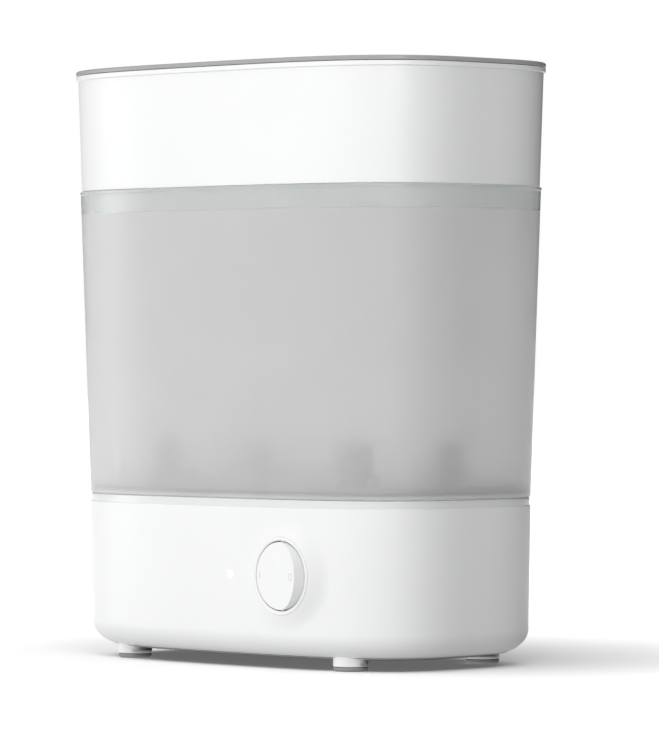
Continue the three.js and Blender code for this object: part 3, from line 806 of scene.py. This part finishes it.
def bottom_cover():
    arc = [SEAM_ANGLE + (math.pi / 2 - SEAM_ANGLE) * k / 8 for k in range(8, -1, -1)]
    seam, _ = fillet_point(SEAM_ANGLE, 0)
    top = UNDERSIDE_Z + 3
    profile = [(0, UNDERSIDE_Z)]
    for angle in arc:
        r, z = fillet_point(angle, 0)
        profile.append((r - GAP, min(z, SEAM_Z - GAP)))
    rib, rib_inside = seam - 6, seam - 8
    profile += [(rib, SEAM_Z - GAP), (rib, COVER_RIB_TOP)]
    profile += [(rib_inside, COVER_RIB_TOP), (rib_inside, top), (0, top)]
    obj = oval_loft("bottom_cover", profile)
    feet = []
    for x, y in FEET:
        boss = [(0, cover_low.z), (FOOT_RADIUS - 0.4, cover_low.z), (FOOT_RADIUS, cover_low.z + 0.4)]
        feet.append(lathe("boss", boss + [(FOOT_RADIUS, 14), (0, 14)], (x, y, 0), 64))
    unite(obj, *feet)
    vents = [prism("vent", stadium(i * 12, 33, 30, 4, "Y"), 0, 12.5) for i in range(-2, 6)]
    well = [(0, 0), (4, 0), (4, 8.8), (2, 8.8), (2, 12), (0, 12)]
    wells = [lathe("well", well, (x, y, 0), 48) for x, y in COVER_SCREWS]
    sockets = [bar_z(x, y, 0, 8.5, 3.4, 48) for x, y in FEET]
    cut(obj, *vents, *wells, *sockets)
    return finish_piece(obj, "base", "white_shell", WHITE, "bottom_cover")


def foot_pads():
    """Pads that lie under the bosses and are pressed into them by a stem."""
    for name, (x, y) in zip(FOOT_NAMES, FEET):
        low, high = box_mm("foot_pad_" + name)
        r = (high.x - low.x) / 2
        pad_top = cover_low.z - GAP
        profile = [
            (0, low.z + 0.5),
            (3, low.z + 0.5, 0.3),
            (3.6, low.z, 0.3),
            (r - 1.2, low.z, 0.6),
            (r, low.z + 1.1, 0.8),
            (r, pad_top, 0.3),
            (3, pad_top, 0.2),
            (3, high.z - 0.6),
            (2.4, high.z),
            (0, high.z),
        ]
        pad = lathe("foot_pad_" + name, rounded(profile), (x, y, 0), 96)
        finish_piece(pad, "base", "foot_rubber", RUBBER, "foot_pad_" + name)


def switch_bezel():
    depth = bezel_high.y - bezel_low.y
    profile = [
        (SWITCH_BORE, 0, 0.7),
        (BEZEL_RADIUS, 0, 0.2),
        (BEZEL_RADIUS, 12.2),
        (27.5, 12.2, 0.4),
        (27.5, 14.2, 0.4),
        (BEZEL_RADIUS, 14.2),
        (BEZEL_RADIUS, depth, 0.5),
        (9, depth, 0.5),
        (9, depth - 2, 0.5),
        (SWITCH_BORE, depth - 2, 0.8),
    ]
    obj = lathe("switch_bezel", rounded(profile, 6), (switch_x, switch_face, control_z), 160, "Y")
    return finish_piece(obj, "base", "white_shell", WHITE, "switch_bezel")


# ---------- rocker ----------
joint = next(j for j in frame["joints"] if j["name"] == "rocker_tilt")
pivot = Vector(joint["pos_m"]) / MM
ROCKER_RADIUS = (rocker_high.z - rocker_low.z) / 2 + 0.1
SWING = math.radians(joint["range_deg"][1])
ROCKER_DEPTH = pivot.y - switch_face - GAP


def on_section(angle, radius):
    """A point at an angle from the front, -Y, of a level section."""
    return radius * math.sin(angle), -radius * math.cos(angle)


def rocker():
    """A ball about the pivot, cut off in front by two flat faces that meet in a shallow valley."""
    middle = -SWING / 2
    corner = math.acos(ROCKER_DEPTH / ROCKER_RADIUS)
    outer = ROCKER_RADIUS + 3
    outline = [
        on_section(-corner, ROCKER_RADIUS),
        on_section(middle, ROCKER_DEPTH / math.cos(middle)),
        on_section(2 * middle + corner, ROCKER_RADIUS),
        on_section(2 * middle + corner, outer),
        on_section(middle + math.pi / 2, outer),
        on_section(middle + math.radians(115), outer),
        on_section(middle - math.radians(115), outer),
        on_section(middle - math.pi / 2, outer),
        on_section(-corner, outer),
    ]
    steps = 48
    arc = [on_section(math.pi * k / steps, ROCKER_RADIUS) for k in range(1, steps)]
    ball = lathe("rocker", [(0, -ROCKER_RADIUS)] + arc + [(0, ROCKER_RADIUS)])
    obj = combine(ball, [prism("section", outline, -30, 30)], "INTERSECT")
    obj.name = "switch_rocker"
    soften(obj, 0.55, 4, 30)
    blade = prism("blade", rectangle(-2, 2, 6, 22), -4, 4)
    blade.data.transform(Matrix.Rotation(middle, 4, "Z"))
    unite(obj, blade)
    cut(obj, bar_z(0, 0, -30, 30, 1.7, 32))
    obj.data.transform(Matrix.Translation(pivot * MM))
    return finish_piece(obj, "rocker", "white_shell", WHITE, "switch_rocker", sharp=50)


def rocker_marks():
    """The on and off marks: a bar on the pressed half and a ring on the raised half."""
    thick = 0.12
    bar = prism("mark_on", stadium(0, 0, 4.6, 0.8, "Y"), 0, thick)
    ring = lathe("mark_off", [(1.7, 0), (1.7, thick), (2.5, thick), (2.5, 0)], count=48)
    # Each mark is drawn flat, stood up facing the front, then moved onto its face.
    stand = Matrix.Rotation(math.pi / 2, 4, "X")
    rise = Matrix.Translation(Vector((0, -ROCKER_DEPTH + 0.05, 0)) * MM)
    for mark, x, turn in ((bar, -0.86 * ROCKER_RADIUS, 0), (ring, 0.74 * ROCKER_RADIUS, -SWING)):
        place = Matrix.Translation(Vector((x, 0, 0)) * MM)
        mark.data.transform(Matrix.Rotation(turn, 4, "Z") @ rise @ place @ stand)
        mark.data.transform(Matrix.Translation(pivot * MM))
        finish_piece(mark, "rocker", "white_shell", PRINT)


# ---------- light, gland, screws, heater ----------
def light_lens():
    depth = light_high.y - light_low.y
    profile = [
        (0, 0),
        (1.6, 0.12),
        (2.5, 0.5),
        (2.9, 1.1),
        (2.9, 4.1),
        (4.6, 4.1, 0.2),
        (4.6, 5.1, 0.2),
        (2.9, 5.1),
        (2.9, depth, 0.3),
        (0, depth),
    ]
    centre = ((light_low.x + light_high.x) / 2, light_low.y, (light_low.z + light_high.z) / 2)
    obj = lathe("light_guide", rounded(profile), centre, 64, "Y")
    return finish_piece(obj, "base", "light_pipe", LIGHT, "light_guide")


def cord_gland():
    depth = gland_high.y - gland_low.y
    profile = [
        (3.6, 0, 0.3),
        (6, 0, 0.4),
        (6, 2),
        (8, 2, 0.5),
        (8, 4.5, 0.5),
        (6, 4.5),
        (6, depth - 2.8),
        (8.4, depth - 2.8, 0.3),
        (8.4, depth - 1, 0.4),
        (7, depth, 0.5),
        (3.6, depth, 0.8),
    ]
    centre = ((gland_low.x + gland_high.x) / 2, gland_low.y, (gland_low.z + gland_high.z) / 2)
    obj = lathe("cord_gland", rounded(profile), centre, 72, "Y")
    return finish_piece(obj, "base", "dark_plastic", DARK, "cord_gland")


THREAD_PITCH = 1.5


def cover_screws():
    for i, (x, y) in enumerate(COVER_SCREWS, 1):
        low, high = box_mm(f"cover_screw_{i}")
        head = low.z + 1.6
        profile = [(0, low.z), (2.4, low.z, 0.8), (3.4, low.z + 0.9, 0.4), (3.4, head, 0.2), (1.5, head, 0.2)]
        for k in range(6):
            z = low.z + 3 + THREAD_PITCH * k
            profile += [(1.2, z), (1.5, z + THREAD_PITCH / 2)]
        profile += [(1.2, high.z - 0.8), (0, high.z)]
        screw = lathe(f"cover_screw_{i}", rounded(profile), (x, y, 0), 40)
        # The two bars of the cross overlap, so they are cut one after the other.
        for along in "XY":
            cut(screw, prism("cross", stadium(x, y, 4.2, 0.8, along), low.z - 1, low.z + 0.8))
        finish_piece(screw, "base", "steel", STEEL, f"cover_screw_{i}")


def heating_plate():
    low, high = box_mm("heating_plate")
    flange = high.z - 1.2
    r = high.x
    profile = [
        (0, low.z),
        (54, low.z, 3),
        (59.5, flange, 3),
        (r, flange, 0.4),
        (r, high.z, 0.4),
        (59, high.z, 3),
        (53.5, low.z + 1.2, 3),
        (20, low.z + 1.5),
        (0, low.z + 1.8),
    ]
    obj = lathe("heating_plate", rounded(profile, 6), (0, 0, 0), 128)
    return finish_piece(obj, "base", "steel", BRUSHED, "heating_plate")


def plate_seal():
    low, high = box_mm("plate_seal")
    neck = PLATE_HOLE - 0.7
    lower = DECK_Z - DECK_THICKNESS - GAP
    profile = [(61, low.z, 0.4), (high.x, low.z, 0.4), (high.x, lower, 0.4), (neck, lower, 0.2)]
    profile += [(neck, high.z, 1.0), (61, high.z, 1.0)]
    obj = lathe("plate_seal", rounded(profile), (0, 0, 0), 128)
    return finish_piece(obj, "base", "seal_silicone", SILICONE, "plate_seal")


INNER_FINISHES = {
    "steel": STEEL,
    "circuit_board": BOARD,
    "dark_plastic": DARK,
    "light_pipe": LIGHT,
    "lead_cover": LEAD,
}


def dress_inner_nodes():
    """The plain pieces inside the base keep their CAD shape and get a finish."""
    for entry in frame["record"]["subparts"]:
        node = frame["nodes"][entry["node"]]
        finish = INNER_FINISHES.get(entry["material_slot"])
        if finish and not node.hide_render:
            node.data.materials.clear()
            node.data.materials.append(finish)


# ---------- stage ----------
def camera():
    data = bpy.data.cameras.new("camera")
    data.sensor_width = 36
    data.lens = 248.2
    obj = add_object("camera", data)
    obj.location = (2.319, -2.226, 0.198)
    aim = Vector((0.0097, 0.0101, 0.1805))
    obj.rotation_euler = (aim - obj.location).to_track_quat("-Z", "Y").to_euler()
    bpy.context.scene.camera = obj


def flat_card(name, outline):
    mesh = bpy.data.meshes.new(name)
    mesh.from_pydata(outline, [], [tuple(range(len(outline)))])
    return add_object(name, mesh)


def floor():
    half = 12.0  # metres
    obj = flat_card("floor", [(x, y, 0) for x, y in rectangle(-half, half, -half, half)])
    finish = Finish("floor_white", (0.93, 0.93, 0.93), 0.9, Specular_IOR_Level=0.0)
    finish.set("Emission Color", (1, 1, 1, 1))
    # Away from the object the floor glows a little, so that it meets the white background with no line.
    distance = finish.tree.nodes.new("ShaderNodeVectorMath")
    distance.operation = "LENGTH"
    finish.link(finish.place, distance.inputs[0])
    glow = finish.tree.nodes.new("ShaderNodeMapRange")
    glow.inputs["From Min"].default_value = 0.13
    glow.inputs["From Max"].default_value = 0.6
    glow.inputs["To Min"].default_value = 0.1
    glow.inputs["To Max"].default_value = 0.9
    finish.link(distance.outputs["Value"], glow.inputs["Value"])
    finish.link(glow.outputs["Result"], finish.shader.inputs["Emission Strength"])
    obj.data.materials.append(finish.mottle(900, 0.002).material)
    # The surroundings light the object from below, through the floor.
    obj.visible_diffuse = False
    obj.visible_shadow = False


SHADE_HALF_WIDTH, SHADE_Z = 136.0, 4.5


def shade():
    """An unseen dark card keeps the light of the surroundings out of the gap under the base."""
    obj = flat_card("shade", [Vector((x, y, SHADE_Z)) * MM for x, y in oval_ring(SHADE_HALF_WIDTH)])
    obj.data.materials.append(Finish("shade_black", (0.02, 0.02, 0.02), 0.9).mottle(30, 0.1).material)
    obj.visible_camera = False


def area_light(name, location, aim, size, power, shadow=True):
    data = bpy.data.lights.new(name, "AREA")
    data.shape = "RECTANGLE"
    data.size, data.size_y = size
    data.energy = power
    data.use_shadow = shadow
    obj = add_object(name, data)
    obj.visible_camera = False
    obj.location = location
    obj.rotation_euler = (Vector(aim) - Vector(location)).to_track_quat("-Z", "Y").to_euler()


def world():
    """White where the camera sees it. As light it is brightest in front and dims towards the back."""
    made = bpy.data.worlds.new("studio")
    bpy.context.scene.world = made
    made.use_nodes = True
    tree = made.node_tree
    background = tree.nodes["Background"]
    background.inputs["Color"].default_value = (1, 1, 1, 1)
    direction = tree.nodes.new("ShaderNodeTexCoord").outputs["Generated"]
    along = tree.nodes.new("ShaderNodeVectorMath")
    along.operation = "DOT_PRODUCT"
    along.inputs[1].default_value = Vector((-0.2, -1.0, -0.15)).normalized()
    tree.links.new(direction, along.inputs[0])
    ramp = tree.nodes.new("ShaderNodeMapRange")
    ramp.inputs["From Min"].default_value = -0.6
    ramp.inputs["From Max"].default_value = 1.0
    ramp.inputs["To Min"].default_value = 0.06
    ramp.inputs["To Max"].default_value = 1.06
    tree.links.new(along.outputs["Value"], ramp.inputs["Value"])
    seen = tree.nodes.new("ShaderNodeLightPath").outputs["Is Camera Ray"]
    choose = tree.nodes.new("ShaderNodeMix")
    choose.inputs["B"].default_value = 1.0
    tree.links.new(seen, choose.inputs["Factor"])
    tree.links.new(ramp.outputs["Result"], choose.inputs["A"])
    tree.links.new(choose.outputs["Result"], background.inputs["Strength"])


# ---------- the scene ----------
camera()
floor()
shade()
world()
area_light("left", (-2.15, -1.1, 0.4), (0, 0, 0.2), (0.6, 1.6), 7, False)
area_light("key", (-1.3, -2.2, 1.5), (0, 0, 0.15), (1.6, 1.6), 9)
area_light("right", (0.88, -0.62, 0.6), (0.1, 0, 0.2), (0.5, 0.5), 3.6)
area_light("top", (0.0, 0.0, 2.4), (0, 0, 0), (2.4, 2.4), 17)

lid()
small_basket()
small_basket_plate()
large_basket()
large_basket_plate()
base_housing()
water_deck()
bottom_cover()
foot_pads()
switch_bezel()
rocker()
rocker_marks()
light_lens()
cord_gland()
cover_screws()
heating_plate()
plate_seal()
dress_inner_nodes()

settings = bpy.context.scene.view_settings
settings.view_transform = "Standard"
settings.look = "None"
